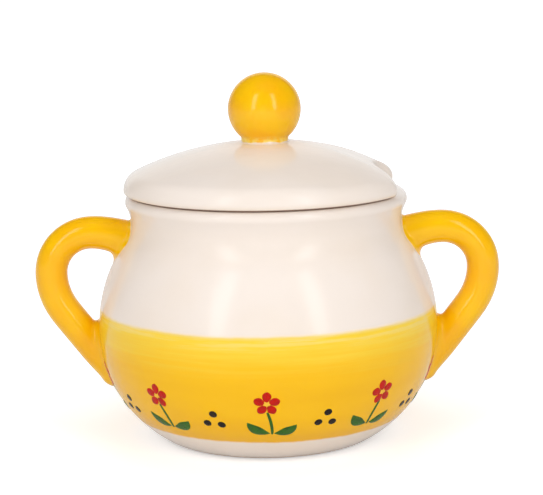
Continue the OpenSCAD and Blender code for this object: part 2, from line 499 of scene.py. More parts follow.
@dataclass(frozen=True)
class YellowGlaze(Glaze):
    """Strong yellow glaze, the band's own tone at its foot and pale where it ends thin."""

    gloss: float = 0.155
    specular: float = 0.42
    yellow: tuple = paint(254, 186, 0)
    light: tuple = paint(255, 197, 0)
    banded: tuple = paint(250, 188, 4)
    pale: tuple = paint(255, 232, 118)
    grain: float = 0.06

    def ground(self, recipe: Recipe, at: Sock, size: float) -> Sock:
        """Two close yellows, in soft patches of a size in millimetres."""
        return recipe.cloud(at, size).step(0.3, 0.7).tint(self.light, self.yellow)


@dataclass(frozen=True)
class BandPaint:
    """Yellow paint, banded on the turning wheel with a broad brush under the glaze."""

    low: float = 7.9
    high: float = 42.9
    yellow: tuple = paint(254, 196, 3)
    deep: tuple = paint(247, 184, 2)
    light: tuple = paint(255, 219, 66)
    # Darker ochre at the band's foot: partly thick pigment, partly painted shade where the belly
    # turns under.
    ochre_and_shade: tuple = paint(234, 172, 20)
    fade: float = 15.0
    wander: float = 0.9
    top_edge: tuple = (-0.35, 0.75)
    foot_edge: tuple = (-0.4, 0.5)

    def brush(self, recipe: Recipe, z: Sock, way_x: Sock,
              way_y: Sock) -> tuple[Sock, Sock, Sock, Sock]:
        """Works out the brushed band.

        Its edges wander with slow noise round the pot, and its streaks are noise stretched
        round the axis: it is read at (direction * k, z), so it has no seam.

        Args:
            recipe: Tree to add to.
            z: Height in millimetres.
            way_x: Direction from the axis, x.
            way_y: Direction from the axis, y.

        Returns:
            Its colour, where it covers the clay, its streaks and its fine fray.
        """
        def rounds(turns: float, rise: float, detail: float, rough: float = 0.5) -> Sock:
            """Noise stretched round the axis."""
            at = recipe.vector(way_x * turns, way_y * turns, z * rise)
            return recipe.cloud(at, 4.0, detail, rough)

        slow = rounds(9.0, 0.05, 3.0)
        fray = rounds(60.0, 2.0, 4.0)
        streak = rounds(7.0, 2.6, 5.0, 0.6)
        broad = rounds(5.0, 0.55, 2.0)
        top = self.high - z + (slow - 0.5) * self.wander + (fray - 0.5) * 0.4
        foot = z - self.low + (slow - 0.5) * self.wander + (fray - 0.5) * 0.5
        depth = top / self.fade + (streak - 0.5) * 0.9
        colour = depth.step(-0.1, 1.0).tint(self.light, self.yellow)
        colour = (broad.step(0.4, 0.75) * depth.step(0.4, 1.2) * 0.5).tint(colour, self.deep)
        # Towards the band's foot the colour goes ochre: partly thick pigment, partly painted shade
        # on the belly's underside.
        colour = (foot.step(7.0, 0.0) * 0.45).tint(colour, self.ochre_and_shade)
        thin = top.step(1.6, -0.2) * 0.4 + top.step(6.0, 0.0) * streak.step(0.55, 0.4) * 0.2
        cover = top.step(*self.top_edge) * foot.step(*self.foot_edge)
        return colour, cover * (1 - thin), streak * cover, fray


@dataclass(frozen=True)
class Enamel:
    """Opaque enamel of a small raised motif."""

    name: str
    colour: tuple
    shade: tuple
    patch: float = 1.6
    relief: float = 0.02

    def dress(self) -> bpy.types.Material:
        """Makes the material: two tones of the enamel in soft patches, and a faint ripple.

        Returns:
            The material.
        """
        recipe = Recipe(self.name)
        at, *_ = recipe.place()
        patch = recipe.cloud(at, self.patch, detail=3.0)
        return recipe.finish(Base_Color=patch.step(0.35, 0.7).tint(self.colour, self.shade),
                             Roughness=patch * 0.15 + 0.2, Specular_IOR_Level=0.2,
                             Normal=recipe.ripple(at, 0.9, self.relief))


# The pot


@dataclass
class Pot:
    """Thrown body: foot ring, round belly, waisted neck, rounded rim and even wall."""

    belly_r: float = 54.0
    belly_h: float = 35.2
    pot_h: float = 78.4
    rim_r: float = 44.55
    rim_flare: float = 1.7
    neck_drop: float = 9.2
    foot_r: float = 31.4
    foot_round_r: float = 6.2
    wall: float = 3.6
    floor: float = 4.6
    floor_round_r: float = 8.0
    lip_outer_r: float = 2.6
    lip_inner_r: float = 1.3
    ring_w: float = 4.6
    recess: float = 1.8
    ring_round_r: float = 1.2
    shoulder_share: float = 0.815
    columns: int = 288
    glaze_line: float = 1.3
    clay_line: float = 0.5
    neck_pool: float = 0.25
    neck_from: tuple = (60.0, 66.0)
    neck_to: tuple = (74.0, 70.0)
    # Depths below the rim's land over which the painted seam shade fades in.
    seam_shade_from: float = 0.55
    seam_shade_full: float = 0.2
    ripple_size: float = 9.0
    ripple_depth: float = 0.14

    def __post_init__(self) -> None:
        """Works out the centres and radii of the outline's arcs."""
        self.neck_r = self.rim_r - self.rim_flare
        self.neck_h = self.pot_h - self.neck_drop
        self.mouth_r = self.neck_r - self.wall
        run, rise = self.belly_r - self.foot_r, self.belly_h - self.foot_round_r
        self.base_r = ((run ** 2 + rise ** 2 - self.foot_round_r ** 2)
                       / (2 * (run - self.foot_round_r)))
        self.base_c = np.array([self.belly_r - self.base_r, self.belly_h])
        self.foot_c = np.array([self.foot_r, self.foot_round_r])
        self.foot_turn = angle_of(self.foot_c - self.base_c)
        run, rise = self.belly_r - self.neck_r, self.neck_h - self.belly_h
        both = (run ** 2 + rise ** 2) / (2 * run)
        self.shoulder_r = self.shoulder_share * both
        self.hollow_r = both - self.shoulder_r
        self.shoulder_c = np.array([self.belly_r - self.shoulder_r, self.belly_h])
        self.hollow_c = np.array([self.neck_r + self.hollow_r, self.neck_h])
        self.s_turn = angle_of(self.hollow_c - self.shoulder_c)
        self.lip_c = np.array([self.rim_r - self.lip_outer_r, self.pot_h - self.lip_outer_r])
        reach = self.lip_c - [self.neck_r, self.neck_h]
        self.flare_r = (reach @ reach - self.lip_outer_r ** 2) / (2 * self.rim_flare)
        self.flare_c = np.array([self.neck_r + self.flare_r, self.neck_h])
        self.flare_turn = angle_of(self.lip_c - self.flare_c)

    def outside(self) -> Array:
        """Outline of the outside, from the foot ring's outer edge up to the rim's land.

        Returns:
            The points, as (r, z).
        """
        return chain(
            arc(self.foot_c, self.foot_round_r, -90, self.foot_turn),
            arc(self.base_c, self.base_r, self.foot_turn, 0),
            arc(self.shoulder_c, self.shoulder_r, 0, self.s_turn),
            arc(self.hollow_c, self.hollow_r, 180 + self.s_turn, 180),
            arc(self.flare_c, self.flare_r, 180, 360 + self.flare_turn
                if self.flare_turn < 0 else self.flare_turn),
            arc(self.lip_c, self.lip_outer_r, self.flare_turn - 180, 90, pitch=0.4))

    def inside(self) -> Array:
        """Outline of the inside, from the rim's land down to the middle of the floor.

        Returns:
            The points, as (r, z).
        """
        inner_r = self.base_r - self.wall
        floor_h = self.recess + self.floor
        drop = self.belly_h - floor_h - self.floor_round_r
        floor_c = np.array([
            self.base_c[0] + math.sqrt((inner_r - self.floor_round_r) ** 2 - drop ** 2),
            floor_h + self.floor_round_r])
        turn = angle_of(floor_c - self.base_c)
        return chain(
            arc([self.mouth_r + self.lip_inner_r, self.pot_h - self.lip_inner_r],
                self.lip_inner_r, 90, 180, pitch=0.3),
            line([self.mouth_r, self.pot_h - self.lip_inner_r], [self.mouth_r, self.neck_h]),
            arc(self.hollow_c, self.hollow_r + self.wall, 180, 180 + self.s_turn),
            arc(self.shoulder_c, self.shoulder_r - self.wall, self.s_turn, 0),
            arc(self.base_c, inner_r, 0, turn),
            arc(floor_c, self.floor_round_r, turn, -90),
            line([floor_c[0], floor_h], [0, floor_h]))

    def under(self) -> Array:
        """Outline of the underside: the recess and the ring that the pot stands on.

        Returns:
            The points, as (r, z).
        """
        ring_in = self.foot_r - self.ring_w
        return chain(
            line([0, self.recess], [ring_in - self.recess, self.recess]),
            arc([ring_in + self.ring_round_r, self.ring_round_r], self.ring_round_r, 225, 270,
                pitch=0.3),
            line([ring_in + self.ring_round_r, 0], [self.foot_r, 0]))

    def depth(self, points: Array) -> tuple[Array, Array]:
        """Distance of points from the pot's outside, less than 0 within it, and its normals.

        Each point is taken to its half plane (r, z).  The distance is that to the nearest
        stretch of the outline, with the sign of the side on which the point lies.

        Args:
            points: Points in space, in the last axis.

        Returns:
            The distances, and the outline's outward normal next to each point, in space.
        """
        outline = self.outside()
        outline = outline[outline[:, 1] > self.foot_round_r / 2]
        start, way = outline[:-1], np.diff(outline, axis=0)
        size = np.linalg.norm(way, axis=1)
        way = way / size[:, None]
        flat = points.reshape(-1, 3)
        radius = np.hypot(flat[:, 0], flat[:, 1])
        gap = np.stack([radius, flat[:, 2]], axis=-1)[:, None] - start
        along = np.clip(np.einsum("psk,sk->ps", gap, way), 0, size)
        off = gap - along[..., None] * way
        nearest = np.argmin(np.einsum("psk,psk->ps", off, off), axis=1)
        normal = np.stack([way[nearest, 1], -way[nearest, 0]], axis=-1)
        picked = off[np.arange(len(flat)), nearest]
        side = np.sign(np.einsum("pk,pk->p", picked, normal))
        distance = np.linalg.norm(picked, axis=1) * side
        out = flat[:, :2] / np.maximum(radius, 1e-9)[:, None]
        space = np.concatenate([out * normal[:, :1], normal[:, 1:]], axis=1)
        return distance.reshape(points.shape[:-1]), space.reshape(points.shape)

    def glaze(self, ivory: IvoryGlaze, band: BandPaint) -> bpy.types.Material:
        """Ivory glaze with the brushed band, only on the outside, and a bare foot ring.

        Args:
            ivory: Finish of the glaze.
            band: Finish of the band.

        Returns:
            The material.
        """
        recipe = Recipe("pot_glaze")
        at, x, y, z = recipe.place()
        outer = recipe.mark("outer")
        way_x, way_y = recipe.bearing(x, y)
        colour, cover, streak, fray = band.brush(recipe, z, way_x, way_y)
        pool = z.step(*self.neck_from) * z.step(*self.neck_to) * self.neck_pool
        body = (cover * outer).tint(ivory.ground(recipe, at, pool), colour)
        # Painted shade: a dark brown line on the rim's outer round, under the lid's edge, where the
        # seam's crevice lies in shade.
        seam = z.step(self.pot_h - self.seam_shade_from, self.pot_h - self.seam_shade_full) * outer
        body = ivory.paint_seam_shade(body, seam, way_x)
        bare = z.step(self.glaze_line, self.clay_line) * outer
        ripple = recipe.cloud(at, self.ripple_size) + streak * outer * 0.12
        return ivory.coat(recipe, bare.tint(body, ivory.clay),
                          bare * ivory.clay_rough + (fray - 0.5) * 0.05,
                          recipe.bump(ripple, self.ripple_depth))

    def build(self, ivory: IvoryGlaze, band: BandPaint) -> bpy.types.Object:
        """Turns the closed outline round the axis and dresses it.

        Args:
            ivory: Finish of the glaze.
            band: Finish of the band.

        Returns:
            The piece.
        """
        under, outside, inside = self.under(), self.outside(), self.inside()
        outline = chain(under, outside, inside)
        outer = np.arange(len(outline)) < len(outline) - len(inside)
        mould = Mould()
        mould.skin(revolve(outline, self.columns), outer=outer.astype(float))
        return mould.piece("pot_shell", self.glaze(ivory, band))


# The handles


@dataclass
class Handle:
    """Looped handle: a round coil of clay, spread on the neck and smoothed down on the belly."""

    side: Side
    pot: Pot
    reach: float = 20.0
    drop: float = 12.4
    low_h: float = 19.9
    thick: float = 10.2
    wide: float = 11.2
    top_bend_r: float = 13.0
    lean_extra: float = 9.1
    tail_lean: float = 17.6
    tail_bend_share: float = 1.25
    root_drop: float = 4.2
    root_swell: float = 2.6
    root_swell_l: float = 4.5
    root_swell_wide: float = 0.4
    tail_share: float = 0.55
    dive: float = 2.4
    dive_span: tuple = (-9.0, 3.0)
    top_fillet: tuple = (1.0, 2.2)
    low_fillet: tuple = (1.6, 0.9, -0.3)
    arm_span: tuple = (0.5, 5.0)
    cap_depth: float = 1.2
    step: float = 0.1
    columns: int = 112
    rows: int = 121
    top_rows: int = 40
    fillet_rows: int = 13
    far_off: float = 30.0
    pool_reach: float = 2.2
    pool_share: float = 0.7
    ripple_size: float = 6.0
    ripple_depth: float = 0.12

    def __post_init__(self) -> None:
        """Works out the centreline, as points an even step apart with their normals."""
        pot = self.pot
        top_h = pot.pot_h - self.drop
        side_x = pot.belly_r + self.reach - self.thick / 2
        bend_c = np.array([side_x - self.top_bend_r, top_h - self.top_bend_r])
        root_x = pot.neck_r - pot.wall / 2
        low_end = np.array([pot.base_c[0] + math.sqrt(pot.base_r ** 2
                                                      - (pot.belly_h - self.low_h) ** 2),
                            self.low_h])
        span = np.array([side_x, bend_c[1]]) - low_end
        lean = math.degrees(math.atan2(span[0], span[1])) + self.lean_extra
        cos, sin = math.cos(math.radians(lean)), math.sin(math.radians(lean))
        cos_end, sin_end = (math.cos(math.radians(self.tail_lean)),
                            math.sin(math.radians(self.tail_lean)))
        share = self.tail_bend_share
        bends_in, bends_down = 1 - cos + share * (cos_end - cos), sin + share * (sin - sin_end)
        side_r = (span[1] * sin - span[0] * cos) / (bends_down * sin - bends_in * cos)
        side_c = np.array([side_x - side_r, bend_c[1]])
        tail_c = low_end + share * side_r * np.array([cos_end, -sin_end])
        pitch = 2 * self.step
        u = np.linspace(0, 1, 60)[:, None]
        root = np.concatenate([root_x + (bend_c[0] - root_x) * u,
                               top_h - self.root_drop * (1 - u) ** 2], axis=1)
        end_way = np.array([-sin_end, -cos_end])
        rough = chain(
            root, arc(bend_c, self.top_bend_r, 90, 0, pitch), arc(side_c, side_r, 0, -lean, pitch),
            line(side_c + side_r * np.array([cos, -sin]),
                 tail_c - share * side_r * np.array([cos, -sin]), pitch),
            arc(tail_c, share * side_r, 180 - lean, 180 - self.tail_lean, pitch))
        self.end_s = np.linalg.norm(np.diff(rough, axis=0), axis=1).sum()
        rough = chain(rough, line(low_end, low_end + self.tail_share * self.thick * end_way, pitch))
        length = np.r_[0, np.cumsum(np.linalg.norm(np.diff(rough, axis=0), axis=1))]
        self.s = np.arange(0, length[-1], self.step)
        even = np.stack([np.interp(self.s, length, rough[:, k]) for k in range(2)], axis=-1)
        dive = self.dive * ease(self.s - self.end_s, *self.dive_span)[:, None]
        even -= dive * np.array([cos_end, -sin_end])
        self.centre = self.soften(even, 16)
        way = unit(np.gradient(self.centre, axis=0))
        self.normal = self.soften(np.stack([-way[:, 1], way[:, 0]], axis=-1), 8)

    @staticmethod
    def soften(points: Array, reach: int) -> Array:
        """Running mean with a bell-shaped weight, the ends carried on straight.

        Args:
            points: Points an even step apart.
            reach: Width of the bell, in steps.

        Returns:
            As many points, with the joins of arcs and lines eased.
        """
        spread = np.arange(-3 * reach, 3 * reach + 1)
        weight = np.exp(-0.5 * (spread / reach) ** 2)
        pad = len(spread) // 2
        steps = np.arange(pad, 0, -1)[:, None]
        before = points[0] - steps * (points[1] - points[0])
        after = points[-1] + steps[::-1] * (points[-1] - points[-2])
        long = np.concatenate([before, points, after])
        return np.stack([np.convolve(long[:, k], weight / weight.sum(), "valid")
                         for k in range(points.shape[1])], axis=-1)

    def tube(self, s: Array, phi: Array) -> Array:
        """Surface of the coil: centre + t cos(phi) normal + w sin(phi) sideways.

        Half thickness t grows by swell * exp(-s / length) towards the upper root, and half
        width w by a share of that.  Past the end of the line they shrink as sqrt(1 - u^2),
        which domes the tail.

        Args:
            s: Distances along the centreline.
            phi: Angles round it, 0 on the outer side of the loop.

        Returns:
            Points in space, for the right side.
        """
        grow = self.root_swell * np.exp(-s / self.root_swell_l)
        past = np.clip((s - self.end_s) / (self.thick / 2), 0, 0.999)
        dome = np.sqrt(1 - past ** 2)
        t = (self.thick / 2 + grow) * dome
        w = (self.wide / 2 + self.root_swell_wide * grow) * dome
        centre = [np.interp(s, self.s, self.centre[:, k]) for k in range(2)]
        normal = [np.interp(s, self.s, self.normal[:, k]) for k in range(2)]
        rise = t * np.cos(phi)
        return np.stack([centre[0] + rise * normal[0], w * np.sin(phi),
                         centre[1] + rise * normal[1]], axis=-1)

    def root(self, upper: bool) -> tuple[Array, Array]:
        """Where the coil's surface meets the pot, as (s, phi), evenly along the seam.

        For each phi the seam is where the distance from the pot, seen from the middle of the
        loop, first falls under zero.

        Args:
            upper: Whether it is the upper root.

        Returns:
            The distances s and the angles phi of the seam's points.
        """
        pitch = 2 * self.step
        phi = np.linspace(0, 2 * math.pi, 721)
        s = np.arange(pitch, self.end_s + self.thick / 2 * 0.995, pitch)
        gap, _ = self.pot.depth(self.tube(s[:, None], phi[None]))
        middle = len(s) // 2
        half = gap[:middle][::-1] if upper else gap[middle:]
        first = np.argmax(half < 0, axis=0)
        if not (half < 0).any(axis=0).all():
            raise ValueError("the coil misses the pot")
        place = np.arange(len(phi))
        near, far = half[first - 1, place], half[first, place]
        steps = first - 1 + near / (near - far)
        seam = s[middle - 1] - steps * pitch if upper else s[middle] + steps * pitch
        points = self.tube(seam, phi)
        length = np.r_[0, np.cumsum(np.linalg.norm(np.diff(points, axis=0), axis=1))]
        even = np.linspace(0, length[-1], self.columns, endpoint=False)
        return np.interp(even, length, seam), np.interp(even, length, phi)

    def collar(self, upper: bool) -> tuple[Array, Array, Array]:
        """Fillet between the coil and the pot, as curves that leave both along their surfaces.

        At each point of the seam, one way runs on the coil and one on the pot, both square to
        the seam.  A fillet of radius f in a corner of angle c starts f / tan(c / 2) from it.
        The radius grows towards the inside of the loop, or below towards the sides.
        Each curve is a cubic through both starts, whose handles follow both surfaces and are as
        long as those of a circle's arc, 4/3 tan(turn / 4) of its radius.

        Args:
            upper: Whether it is the upper root.

        Returns:
            Distances s and angles phi at which the fillet leaves the coil, and its grid of
            points, from the coil to the pot.
        """
        s, phi = self.root(upper)
        seam = self.tube(s, phi)
        _, pot_n = self.pot.depth(seam)
        hair, sliver = 0.05, 0.01
        along_s = (self.tube(s + hair, phi) - self.tube(s - hair, phi)) / (2 * hair)
        along_phi = (self.tube(s, phi + sliver) - self.tube(s, phi - sliver)) / (2 * sliver)
        coil_n = unit(np.cross(along_s, along_phi))
        centre = np.stack([np.interp(s, self.s, self.centre[:, 0]), 0 * s,
                           np.interp(s, self.s, self.centre[:, 1])], axis=-1)
        coil_n *= np.sign(dot(coil_n, seam - centre))[:, None]
        run = unit(np.roll(seam, -1, axis=0) - np.roll(seam, 1, axis=0))
        on_coil, on_pot = unit(np.cross(coil_n, run)), unit(np.cross(pot_n, run))
        on_coil *= np.sign(dot(on_coil, pot_n))[:, None]
        on_pot *= np.sign(dot(on_pot, coil_n))[:, None]
        corner = np.arccos(np.clip(dot(on_coil, on_pot), -0.95, 0.99))
        inner = 0.5 - 0.5 * np.cos(phi)
        if upper:
            radius = self.top_fillet[0] + self.top_fillet[1] * inner
        else:
            radius = (self.low_fillet[0] + self.low_fillet[1] * np.sin(phi) ** 2
                      + self.low_fillet[2] * inner)
        arm = np.clip(radius / np.tan(corner / 2), *self.arm_span)
        arm = self.soften(np.tile(arm, 3)[:, None], 2)[len(arm):2 * len(arm), 0]
        ss, sp, pp = dot(along_s, along_s), dot(along_s, along_phi), dot(along_phi, along_phi)
        vs, vp = dot(arm[:, None] * on_coil, along_s), dot(arm[:, None] * on_coil, along_phi)
        scale = ss * pp - sp ** 2
        ds, dp = (vs * pp - vp * sp) / scale, (vp * ss - vs * sp) / scale
        coil_s, coil_phi = s + ds, phi + dp
        start = self.tube(coil_s, coil_phi)
        leave = unit(self.tube(coil_s - 0.05 * ds, coil_phi - 0.05 * dp) - start)
        stop = seam + arm[:, None] * on_pot
        gap, stop_n = self.pot.depth(stop)
        stop = stop - gap[:, None] * stop_n
        arrive = unit(seam - stop)
        arrive = unit(arrive - dot(arrive, stop_n)[:, None] * stop_n)
        turn = np.arccos(np.clip(dot(leave, -arrive), -0.999, 0.999))
        chord = np.linalg.norm(stop - start, axis=1)
        pull = (chord * 2 / 3 * np.tan(turn / 4) / np.sin(turn / 2))[:, None]
        u = np.linspace(0, 1, self.fillet_rows)[:, None, None]
        grid = ((1 - u) ** 3 * start + 3 * (1 - u) ** 2 * u * (start + pull * leave)
                + 3 * (1 - u) * u ** 2 * (stop + pull * arrive) + u ** 3 * stop)
        return coil_s, coil_phi, grid

    def cap(self, foot: Array) -> Array:
        """Hidden end within the pot's wall: rings that shrink to one point under its surface.

        Args:
            foot: The fillet's last ring, on the pot's surface.

        Returns:
            Rings from just within the foot to the pole.
        """
        share = np.array([0.97, 0.7, 0.35, 0.0])[:, None, None]
        rings = foot.mean(axis=0) + (foot - foot.mean(axis=0)) * share
        gap, normal = self.pot.depth(rings)
        return rings - (gap + self.cap_depth)[..., None] * normal

    def build(self, yellow: YellowGlaze, ivory: IvoryGlaze) -> bpy.types.Object:
        """Joins cap, fillet, coil, fillet and cap into one closed skin and dresses it.

        Between the two fillets s and phi go evenly from one seam to the other, and phi is
        spread evenly round the coil in the middle.

        Args:
            yellow: Finish of the handle.
            ivory: Finish that shows where the yellow ends on the neck.

        Returns:
            The piece.
        """
        top_s, top_phi, top = self.collar(upper=True)
        low_s, low_phi, low = self.collar(upper=False)
        k = np.linspace(0, 1, self.rows)[1:-1, None]
        near, far = 1 - ease(k, 0, 0.35), ease(k, 0.55, 1)
        even = np.linspace(0, 2 * math.pi, self.columns, endpoint=False)
        phi = near * top_phi + far * low_phi + (1 - near - far) * even
        coil = self.tube(top_s + (low_s - top_s) * k, phi)
        top_cap, low_cap = self.cap(top[-1])[::-1], self.cap(low[-1])
        grid = np.concatenate([top_cap, top[::-1], coil, low, low_cap])
        gap, _ = self.pot.depth(grid)
        upper = np.arange(len(grid))[:, None] < len(top_cap) + len(top) + self.top_rows
        edge = np.where(upper, gap, self.far_off)
        pool = np.exp(-np.maximum(gap, 0) / self.pool_reach) * ~upper
        grid = grid * [self.side.value, 1, 1]
        mould = Mould()
        mould.skin(grid, edge=edge, pool=pool)
        return mould.piece(f"handle_{self.side.name.lower()}_loop", self.glaze(yellow, ivory))

    def glaze(self, yellow: YellowGlaze, ivory: IvoryGlaze) -> bpy.types.Material:
        """Yellow glaze that runs into the band below and ends in an uneven edge on the neck.

        Args:
            yellow: Finish of the handle.
            ivory: Finish beyond the yellow's edge.

        Returns:
            The material.
        """
        recipe = Recipe(f"handle_{self.side.name.lower()}_glaze")
        at, *_ = recipe.place()
        fine = recipe.cloud(at, 2.4, detail=3.0)
        edge = recipe.mark("edge") + (recipe.cloud(at, 5.0, detail=3.0) - 0.5) * 0.6
        colour = yellow.ground(recipe, at, 14.0)
        colour = (recipe.mark("pool") * self.pool_share).tint(colour, yellow.banded)
        colour = (edge.step(1.6, 0.2) * fine.step(0.4, 0.65) * 0.35).tint(colour, yellow.pale)
        return yellow.coat(recipe, edge.step(-0.08, 0.2).tint(ivory.cream, colour),
                           (fine - 0.5) * yellow.grain,
                           recipe.ripple(at, self.ripple_size, self.ripple_depth))


# The lid


@dataclass
class Lid:
    """Domed lid with a rolled edge, a locating flange and a spoon notch over the right handle."""

    pot: Pot
    lid_r: float = 44.95
    lid_h: float = 15.8
    thick: float = 4.2
    edge_r: float = 6.0
    under_r: float = 1.2
    flange_h: float = 5.0
    flange_t: float = 3.0
    play: float = 0.6
    hollow_r: float = 4.0
    toe_r: float = 1.2
    notch_reach: float = 11.0
    notch_r: float = 17.0
    notch_side_r: float = 7.5
    notch_turn: float = 1.5
    notch_relief: float = 3.0
    soft_edge_r: float = 2.2
    soft_under_r: float = 1.2
    fall: float = 0.95
    fall_reach: float = 20.0
    fall_turn: tuple = (82.0, 52.0)
    fall_h: tuple = (1.2, 7.0)
    thin_r: float = 38.5
    toe_turn: tuple = (16.6, 17.8)
    free_turn: tuple = (16.0, 10.5)
    least_toe_h: float = 0.1
    least_seat_w: float = 0.25
    least_flange_w: float = 0.4
    least_ring_w: float = 1.5
    dome_rows: int = 34
    crown_rows: int = 44
    notch_span: float = 34.0
    notch_columns: int = 201
    far_columns: int = 211
    clay_rough: float = 0.45
    ripple_size: float = 10.0
    ripple_depth: float = 0.14

    def __post_init__(self) -> None:
        """Works out the crown's arc and the notch's circles."""
        self.seat_h = self.pot.pot_h
        edge_h = self.seat_h + self.under_r
        x, rise = self.lid_r - self.edge_r, self.seat_h + self.lid_h - edge_h
        self.crown_r = (x ** 2 + rise ** 2 - self.edge_r ** 2) / (2 * (rise - self.edge_r))
        self.crown_z = self.seat_h + self.lid_h - self.crown_r
        self.flange_r = self.pot.mouth_r - self.play
        self.flange_in_r = self.flange_r - self.flange_t
        self.bight_x = self.lid_r - self.notch_reach + self.notch_r
        orbit = self.lid_r - self.notch_side_r
        self.side_x = ((orbit ** 2 + self.bight_x ** 2 - (self.notch_r + self.notch_side_r) ** 2)
                       / (2 * self.bight_x))
        self.side_y = math.sqrt(orbit ** 2 - self.side_x ** 2)

    def plan(self, angle: Array) -> Array:
        """Radius of the lid in plan: its circle, and within the notch's angle the nearer of
        the bight's circle and the side round's, which touch each other and the lid's.

        Args:
            angle: Angles from the middle of the notch, in radians.

        Returns:
            The radius at each angle.
        """
        turn = np.abs(angle)
        side_end = math.atan2(self.side_y, self.side_x)
        mix = self.notch_r / (self.notch_r + self.notch_side_r)
        touch = np.array([self.bight_x + (self.side_x - self.bight_x) * mix, self.side_y * mix])
        meet = math.atan2(touch[1], touch[0])
        bight = (self.bight_x * np.cos(turn)
                 - np.sqrt(np.maximum(self.notch_r ** 2 - (self.bight_x * np.sin(turn)) ** 2, 0)))
        off = turn - side_end
        orbit = math.hypot(self.side_x, self.side_y)
        side = (orbit * np.cos(off)
                + np.sqrt(np.maximum(self.notch_side_r ** 2 - (orbit * np.sin(off)) ** 2, 0)))
        return np.where(turn < meet, bight, np.where(turn < side_end, side, self.lid_r))

    def section(self, angle: Array) -> Array:
        """Closed half section at each angle, from the underside's pole to the crown's.

        Away from the notch it is the real section: hollow, its round, the flange with its two
        toe rounds, the seat, the edge's two rounds and the crown.  Towards the notch a wider
        circle cuts the flange off, and then the ring of the wall eases into a free edge of the
        dome, with a small round below and a larger one above.  The dome falls softly there.

        Args:
            angle: Angles from the middle of the notch, in radians.

        Returns:
            Grid of (r, z), with a row for each angle.
        """
        radius = self.plan(angle)[:, None]
        turn = np.degrees(np.abs(angle))[:, None]
        away = ease(radius, self.thin_r, self.lid_r)
        edge_r = self.soft_edge_r + (self.edge_r - self.soft_edge_r) * away
        under_r = self.soft_under_r + (self.under_r - self.soft_under_r) * away
        inner_arc = self.crown_r - self.thick
        widest = np.minimum(self.flange_r, radius - under_r - self.least_seat_w)
        flange_in = np.minimum(self.flange_in_r, widest - self.least_ring_w)
        across = self.bight_x * np.sin(np.radians(turn))
        relief = (self.notch_r + self.notch_relief) ** 2 - across ** 2
        cut = self.bight_x * np.cos(np.radians(turn)) - np.sqrt(np.maximum(relief, 0))
        least = flange_in + self.least_flange_w
        flange_r = np.where(relief > 0, np.clip(cut, least, widest), widest)
        deeper = (self.flange_h - self.least_toe_h) * ease(turn, *self.toe_turn)
        toe_h = self.seat_h - self.least_toe_h - deeper
        toe_in = np.minimum(self.toe_r, 0.45 * (flange_r - flange_in))
        toe_out = np.minimum(toe_in, 0.6 * (self.seat_h - toe_h))
        hollow_x = flange_in - self.hollow_r
        hollow_z = self.crown_z + np.sqrt((inner_arc - self.hollow_r) ** 2 - hollow_x ** 2)
        hollow_turn = np.arctan2(hollow_z - self.crown_z, hollow_x)
        zero = 0 * turn

        def bend(x: Array, z: Array, r: Array, first: Array, last: Array, n: int) -> Array:
            """Arcs round (x, z), one for each angle of the lid."""
            a = first + (last - first) * np.linspace(0, 1, n)
            return np.stack([x + r * np.cos(a) + zero, z + r * np.sin(a) + zero], axis=-1)

        def run(start: tuple, stop: tuple, n: int) -> Array:
            """Straight runs, without their two ends."""
            u = np.linspace(0, 1, n + 2)[1:-1]
            return np.stack([start[k] + (stop[k] - start[k]) * u + zero for k in range(2)], axis=-1)

        quarter = math.pi / 2
        ring = np.concatenate([
            bend(0, self.crown_z, inner_arc, quarter, hollow_turn, self.dome_rows),
            bend(hollow_x, hollow_z, self.hollow_r, hollow_turn, 0, 11)[:, 1:],
            run((flange_in, hollow_z), (flange_in, toe_h + toe_in), 5),
            bend(flange_in + toe_in, toe_h + toe_in, toe_in, 2 * quarter, 3 * quarter, 6),
            bend(flange_r - toe_out, toe_h + toe_out, toe_out, 3 * quarter, 4 * quarter, 6),
            run((flange_r, toe_h + toe_out), (flange_r, self.seat_h), 3),
            run((flange_r, self.seat_h), (radius - under_r, self.seat_h), 3),
            bend(radius - under_r, self.seat_h + under_r, under_r, -quarter, 0, 9),
        ], axis=1)
        below = inner_arc + under_r
        free_z = self.crown_z + np.sqrt(below ** 2 - (radius - under_r) ** 2)
        free_turn = np.arctan2(free_z - self.crown_z, radius - under_r)
        lower = ring.shape[1] - self.dome_rows
        free = np.concatenate([
            bend(0, self.crown_z, inner_arc, quarter, free_turn, self.dome_rows),
            bend(radius - under_r, free_z, under_r, free_turn - math.pi, 0, lower + 1)[:, 1:],
        ], axis=1)
        share = ease(turn, *self.free_turn)[..., None]
        edge_z = self.crown_z + np.sqrt((self.crown_r - edge_r) ** 2 - (radius - edge_r) ** 2)
        edge_turn = np.arctan2(edge_z - self.crown_z, radius - edge_r)
        grid = np.concatenate([
            ring + (free - ring) * share,
            bend(radius - edge_r, edge_z, edge_r, 0, edge_turn, 14)[:, 1:],
            bend(0, self.crown_z, self.crown_r, edge_turn, quarter, self.crown_rows)[:, 1:],
        ], axis=1)
        grid[..., 1] -= (self.fall * ease(turn, *self.fall_turn)
                         * ease(radius - grid[..., 0], self.fall_reach, 0)
                         * ease(grid[..., 1] - self.seat_h, *self.fall_h))
        return grid

    def build(self, ivory: IvoryGlaze) -> bpy.types.Object:
        """Carries the section round the axis, with its angles crowded at the notch.

        Args:
            ivory: Finish of the lid.

        Returns:
            The piece.
        """
        span = self.notch_span
        near = np.radians(np.linspace(-span, span, self.notch_columns))
        wide = np.radians(np.linspace(span, 360 - span, self.far_columns))[1:-1]
        angle = np.concatenate([near, wide])
        section = self.section(np.where(angle > math.pi, angle - 2 * math.pi, angle))
        place = angle[:, None] - math.radians(self.notch_turn)
        grid = np.stack([section[..., 0] * np.cos(place), section[..., 0] * np.sin(place),
                         section[..., 1]], axis=-1)
        mould = Mould()
        mould.skin(grid.transpose(1, 0, 2))
        return mould.piece("lid_shell", self.glaze(ivory))

